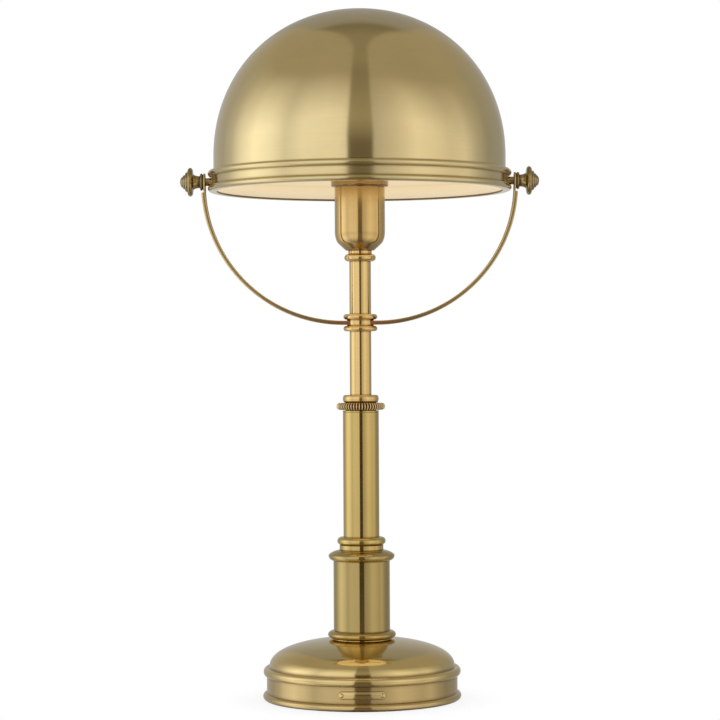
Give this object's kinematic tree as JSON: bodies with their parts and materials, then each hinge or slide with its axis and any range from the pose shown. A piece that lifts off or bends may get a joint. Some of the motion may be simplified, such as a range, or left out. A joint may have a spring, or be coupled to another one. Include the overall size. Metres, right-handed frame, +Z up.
{
  "type": "desk lamp",
  "caption": "Cordless brass desk lamp: a hemispherical shade tilts in a U-shaped yoke on a stem that slides and turns in a column with a knurled lock ring, over a weighted round base.",
  "frame": {"origin": "on the table, under the column's axis", "axes": "+Z up along the column, +X along the shade's pivot towards the right-hand knob, front towards -Y"},
  "size_m": [0.3172, 0.268, 0.6088],
  "materials": {
    "brass": "aged brass, finely turned and softly polished",
    "bright_brass": "pressed bright brass",
    "enamel": "cream enamel on spun sheet",
    "opal_glass": "opal white glass",
    "bulb_metal": "plain rolled thread",
    "porcelain": "glazed",
    "iron": "rough cast",
    "black_steel": "satin black paint",
    "steel": "zinc plated",
    "felt": "dense wool felt",
    "black_plastic": "moulded",
    "bearing_plastic": "turned bearing plastic",
    "board": "coated circuit board",
    "cell_wrap": "shrink wrap",
    "lead": "sheathed lead",
    "fibre": "vulcanised fibre"
  },
  "bodies": {
    "base": {"base_shell": "brass", "base_weight": "iron", "bottom_plate": "black_steel", "plate_screws": "steel", "felt_ring": "felt", "battery_cells": "cell_wrap", "battery_tray": "black_plastic", "control_board": "board", "charge_port": "steel", "switch_body": "black_plastic", "button_bezel": "brass", "name_plate": "brass", "plate_rivets": "brass", "base_nipple": "steel", "nipple_washer": "steel", "nipple_nut": "steel", "base_lead": "lead", "pedestal_foot": "brass", "pedestal_sleeve": "brass", "pedestal_cap": "brass", "tube_collar": "brass", "lower_tube": "brass", "tube_plug": "brass", "coiled_lead": "lead", "gland_body": "brass", "gland_cap": "brass"},
    "lock_ring": {"lock_ring": "brass"},
    "swivel": {"swivel_bush": "bearing_plastic"},
    "stem": {"guide_piston": "bearing_plastic", "lower_stem": "brass", "hub_lower": "brass", "hub_nipple": "steel", "hub_upper": "brass", "upper_stem": "brass", "stem_lead": "lead", "yoke": "brass", "cup_collar": "brass", "cup_nipple": "steel", "cup_nut": "steel", "socket_cup": "brass", "lamp_holder": "porcelain", "screw_shell": "bright_brass", "centre_contact": "bright_brass", "bulb_cap": "bulb_metal", "bulb_globe": "opal_glass", "pivot_washers": "fibre"},
    "shade": {"shade_dome": "brass", "shade_lining": "enamel", "shade_rim": "brass", "pivot_studs": "brass", "stud_nuts": "steel"},
    "left_knob": {"left_knob": "brass"},
    "right_knob": {"right_knob": "brass"},
    "button": {"power_button": "brass"}
  },
  "joints": [
    {"name": "lock_ring_turn", "type": "hinge", "parent": "base", "child": "lock_ring", "pos_m": [0, 0, 0.2586], "axis": [0, 0, 1], "range_deg": [0, 120]},
    {"name": "stem_swivel", "type": "hinge", "parent": "base", "child": "swivel", "pos_m": [0, 0, 0.256], "axis": [0, 0, 1], "range_deg": [-170, 170]},
    {"name": "height_slide", "type": "slide", "parent": "swivel", "child": "stem", "axis": [0, 0, 1], "range_m": [-0.05, 0.06], "deforming": ["coiled_lead"]},
    {"name": "shade_tilt", "type": "hinge", "parent": "stem", "child": "shade", "pos_m": [0, 0, 0.4574], "axis": [1, 0, 0], "range_deg": [-60, 60]},
    {"name": "left_knob_turn", "type": "hinge", "parent": "stem", "child": "left_knob", "pos_m": [-0.149, 0, 0.4574], "axis": [-1, 0, 0], "range_deg": [0, 180]},
    {"name": "right_knob_turn", "type": "hinge", "parent": "stem", "child": "right_knob", "pos_m": [0.149, 0, 0.4574], "axis": [1, 0, 0], "range_deg": [0, 180]},
    {"name": "button_press", "type": "slide", "parent": "base", "child": "button", "axis": [0, -1, 0], "range_m": [0, 0.0012], "stiffness_N_per_m": 1500}
  ]
}
